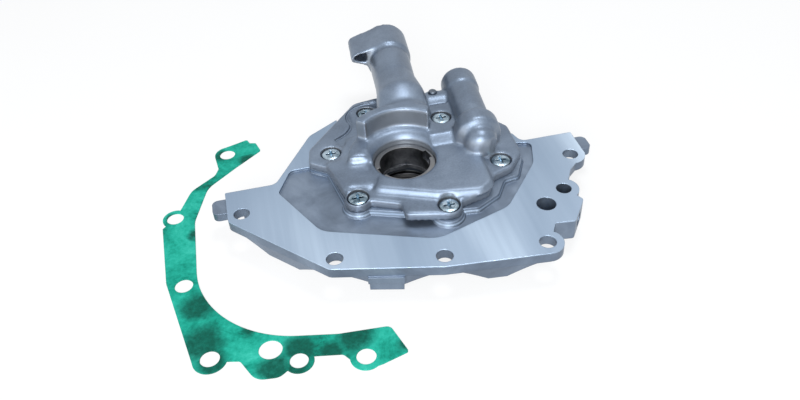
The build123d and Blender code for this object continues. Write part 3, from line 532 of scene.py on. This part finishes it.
# Cover: the CAD shape with the soft edges of a sand casting. A bump or groove along the neck is given by its
# place along the neck, its width and its height. A melt spot is smoothed more: its x, y and radius.
softCover = {
    "voxel": 0.00085,
    "rounds": 5,
    "factor": 0.5,
    "barrelFoot": (0.0448, 0, 0.013),
    "sumpWay": (0.0784591, 0.9969173, 0),
    "keptRadius": 0.0082,
    "jointLevel": 0.0019,
    "boreRadius": 0.0179,
    "sinkRadius": 0.0063,
    "holeRadius": 0.00325,
    "headSunk": 0.00055,
    "sinkDepth": 0.0022,
    "sharpAngle": 0.7,
    "cutTop": 0.04,
    "cutFloor": -0.01,
    "neckFoot": (0.0048, 0, 0.017),
    "rootLow": 0.022,
    "rootWide": 0.019,
    "rootFrom": 0.0325,
    "rootRise": (0.0475, 0.0060, 0.0009),
    "rootDip": (0.0355, 0.0035, -0.0011),
    "collarDip": (0.0925, 0.0022, -0.0006),
    "collarHeight": 0.010,
    "meltRounds": 36,
    "meltSpots": (
        (-0.0262, 0.0037, 0.0075),
        (-0.0282, -0.0153, 0.0060),
    ),
    "seamRadius": 0.0010,
    "seamSteps": 3,
    "seamRoute": (
        (-0.0070, 0.0663, 0.0060),
        (-0.0144, 0.0655, 0.0062),
        (-0.0206, 0.0616, 0.0063),
        (-0.0239, 0.0560, 0.0064),
        (-0.0242, 0.0506, 0.0064),
        (-0.0232, 0.0456, 0.0062),
        (-0.0256, 0.0404, 0.0059),
        (-0.0306, 0.0358, 0.0059),
        (-0.0352, 0.0327, 0.0063),
    ),
}


def addObject(name, data):
    thing = bpy.data.objects.new(name, data)
    bpy.context.scene.collection.objects.link(thing)
    return thing


def meshFrom(shape, name):
    mesh = bpy.data.meshes.new(name)
    shape.to_mesh(mesh)
    shape.free()
    return mesh


def finishedMesh(piece):
    view = bpy.context.evaluated_depsgraph_get()
    return bpy.data.meshes.new_from_object(piece.evaluated_get(view))


def applyModifiers(piece):
    finished = finishedMesh(piece)
    piece.modifiers.clear()
    piece.data = finished


def mergedCopy(node, name):
    shape = bmesh.new()
    shape.from_mesh(node.data)
    bmesh.ops.remove_doubles(shape, verts=shape.verts, dist=mergeReach)
    return addObject(name, meshFrom(shape, name))


def smoothRounds(shape, vertices, rounds, factor):
    for turn in range(rounds):
        bmesh.ops.smooth_vert(shape, verts=vertices, factor=factor, use_axis_x=True, use_axis_y=True,
                              use_axis_z=True)


def addCutter(shape, place, lowRadius, highRadius, low, high):
    made = bmesh.ops.create_cone(shape, cap_ends=True, segments=cutterSides, radius1=lowRadius,
                                 radius2=highRadius, depth=high - low)
    bmesh.ops.translate(shape, verts=made["verts"], vec=(place[0], place[1], (low + high) / 2))


def cutAway(piece, cutters):
    for cutter in cutters:
        cut = piece.modifiers.new(cutter.name, "BOOLEAN")
        cut.operation = "DIFFERENCE"
        cut.solver = "EXACT"
        cut.object = cutter
    applyModifiers(piece)
    for cutter in cutters:
        bpy.data.objects.remove(cutter)


# The machined places of the cover, cut sharp after the casting is softened
def cutMachined(piece, values):
    walls = bmesh.new()
    cones = bmesh.new()
    bore = values["boreRadius"]
    sink = values["sinkRadius"]
    hole = values["holeRadius"]
    addCutter(walls, (0, 0), bore, bore, values["cutFloor"], values["cutTop"])
    for number in range(1, screwCount + 1):
        low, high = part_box(f"cover_screw_{number}")
        place = ((low[0] + high[0]) / 2, (low[1] + high[1]) / 2)
        land = high[2] + values["headSunk"]
        seat = land - values["sinkDepth"]
        addCutter(cones, place, hole, sink, seat - sink + hole, seat)
        addCutter(walls, place, sink, sink, seat, values["cutTop"])
    shapes = (("walls", walls), ("cones", cones))
    cutAway(piece, [addObject(name, meshFrom(shape, name)) for name, shape in shapes])


# The curved seam on the cover's left, a shallow round groove along its route
def cutSeam(piece, values):
    line = bpy.data.curves.new("seam", "CURVE")
    line.dimensions = "3D"
    line.bevel_depth = values["seamRadius"]
    line.bevel_resolution = values["seamSteps"]
    line.use_fill_caps = True
    route = line.splines.new("BEZIER")
    route.bezier_points.add(len(values["seamRoute"]) - 1)
    for point, place in zip(route.bezier_points, values["seamRoute"]):
        point.co = place
        point.handle_left_type = "AUTO"
        point.handle_right_type = "AUTO"
    tube = addObject("seamTube", line)
    cutAway(piece, [addObject("seam", finishedMesh(tube))])
    bpy.data.objects.remove(tube)


def bell(value, centre, width, height):
    return height * exp(-(((value - centre) / width) ** 2))


# The neck's root slopes up from the wall, and its collar stands clear of the pipe
def shapeNeck(shape, values):
    foot = Vector(values["neckFoot"])
    way = Vector(values["sumpWay"])
    for vertex in shape.verts:
        reach = vertex.co - foot
        along = reach.dot(way)
        spoke = reach - way * along
        onRoot = along > values["rootFrom"] and spoke.length < values["rootWide"]
        if onRoot and vertex.co.z > values["rootLow"]:
            vertex.co.z += bell(along, *values["rootRise"]) + bell(along, *values["rootDip"])
        if spoke.length > values["collarHeight"] and abs(spoke.x) < values["rootWide"]:
            vertex.co += spoke.normalized() * bell(along, *values["collarDip"])


# Vertices of the cast skin: all but the joint face and the valve barrel's bore
def castSkin(shape, values):
    foot = Vector(values["barrelFoot"])
    way = Vector(values["sumpWay"])
    skin = []
    for vertex in shape.verts:
        reach = vertex.co - foot
        fromAxis = (reach - way * reach.dot(way)).length
        if fromAxis > values["keptRadius"] and vertex.co.z > values["jointLevel"]:
            skin.append(vertex)
    return skin


def softenCover(shape, values):
    skin = castSkin(shape, values)
    smoothRounds(shape, skin, values["rounds"], values["factor"])
    for x, y, radius in values["meltSpots"]:
        spot = Vector((x, y))
        melted = [vertex for vertex in skin if (vertex.co.xy - spot).length < radius]
        smoothRounds(shape, melted, values["meltRounds"], values["factor"])


def makeSoftCover(values):
    piece = mergedCopy(nodes["pump_cover"], "castCover")
    remesh = piece.modifiers.new("casting", "REMESH")
    remesh.mode = "VOXEL"
    remesh.voxel_size = values["voxel"]
    applyModifiers(piece)
    shape = bmesh.new()
    shape.from_mesh(piece.data)
    shapeNeck(shape, values)
    softenCover(shape, values)
    shape.to_mesh(piece.data)
    shape.free()
    cutMachined(piece, values)
    cutSeam(piece, values)
    piece.data.shade_smooth()
    piece.data.set_sharp_from_angle(angle=values["sharpAngle"])
    piece.data.materials.clear()
    piece.data.materials.append(castMetal)
    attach(piece, "pump_body")
    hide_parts("pump_cover")
    print("cast cover:", len(piece.data.polygons), "faces")


makeSoftCover(softCover)


def shaderMix(tree, share, first, second, outputNode):
    mix = tree.nodes.new("ShaderNodeMixShader")
    tree.links.new(share, mix.inputs[0])
    tree.links.new(first.outputs[0], mix.inputs[1])
    tree.links.new(second.outputs[0], mix.inputs[2])
    tree.links.new(mix.outputs[0], tree.nodes[outputNode].inputs["Surface"])


# Floor: it glows white, takes the pump's shadow, and stays in shade inside the seal nose
def makeFloor(values):
    shape = bmesh.new()
    bmesh.ops.create_grid(shape, x_segments=1, y_segments=1, size=values["floorSize"] / 2)
    bmesh.ops.translate(shape, verts=shape.verts, vec=(0, 0, values["floorHeight"]))
    floor = addObject("floor", meshFrom(shape, "floor"))
    material, tree, shader = newMaterial("paleFloor", roughness=values["floorRoughness"], specular=0.0)
    shader.inputs["Base Color"].default_value = values["floorColour"]
    glow = tree.nodes.new("ShaderNodeEmission")
    seen = seenDirectly(tree)
    fromAxis = vectorNode(tree, "LENGTH", objectPlace(tree))
    lit = spread(tree, fromAxis.outputs["Value"], 0.0, values["floorGlow"], *values["shadeRadius"])
    shaderMix(tree, arithmetic(tree, "MULTIPLY", seen, lit), shader, glow, "Material Output")
    floor.data.materials.append(material)


# World: plain white where it is seen directly, and a weaker cool fill elsewhere
def makeWorld(values):
    world = bpy.data.worlds.new("paleWorld")
    bpy.context.scene.world = world
    world.use_nodes = True
    tree = world.node_tree
    fill = tree.nodes["Background"]
    fill.inputs["Color"].default_value = values["fillColour"]
    fill.inputs["Strength"].default_value = values["worldFill"]
    white = tree.nodes.new("ShaderNodeBackground")
    white.inputs["Color"].default_value = values["white"]
    white.inputs["Strength"].default_value = 1.0
    shaderMix(tree, seenDirectly(tree), fill, white, "World Output")


def makeLamps(lamps):
    for name, place, target, size, power in lamps:
        light = bpy.data.lights.new(name, "AREA")
        light.shape = "DISK"
        light.size = size
        light.energy = power
        lamp = addObject(name, light)
        aim = Vector(target) - Vector(place)
        lamp.matrix_world = Matrix.Translation(place) @ aim.to_track_quat("-Z", "Y").to_matrix().to_4x4()


def makeCamera(values):
    data = bpy.data.cameras.new("photoCamera")
    data.lens = values["lens"]
    data.sensor_width = values["sensor"]
    data.sensor_fit = "HORIZONTAL"
    data.clip_start = values["nearest"]
    camera = addObject("photoCamera", data)
    right, up, forward = (Vector(values[key]) for key in ("right", "up", "forward"))
    turn = Matrix((right, up, -forward)).transposed().to_4x4()
    camera.matrix_world = Matrix.Translation(values["place"]) @ turn
    bpy.context.scene.camera = camera


makeFloor(stageLook)
makeWorld(stageLook)
makeLamps(softLamps)
makeCamera(photoCamera)
bpy.context.scene.view_settings.view_transform = "Standard"
print("stage, lamps and camera made")
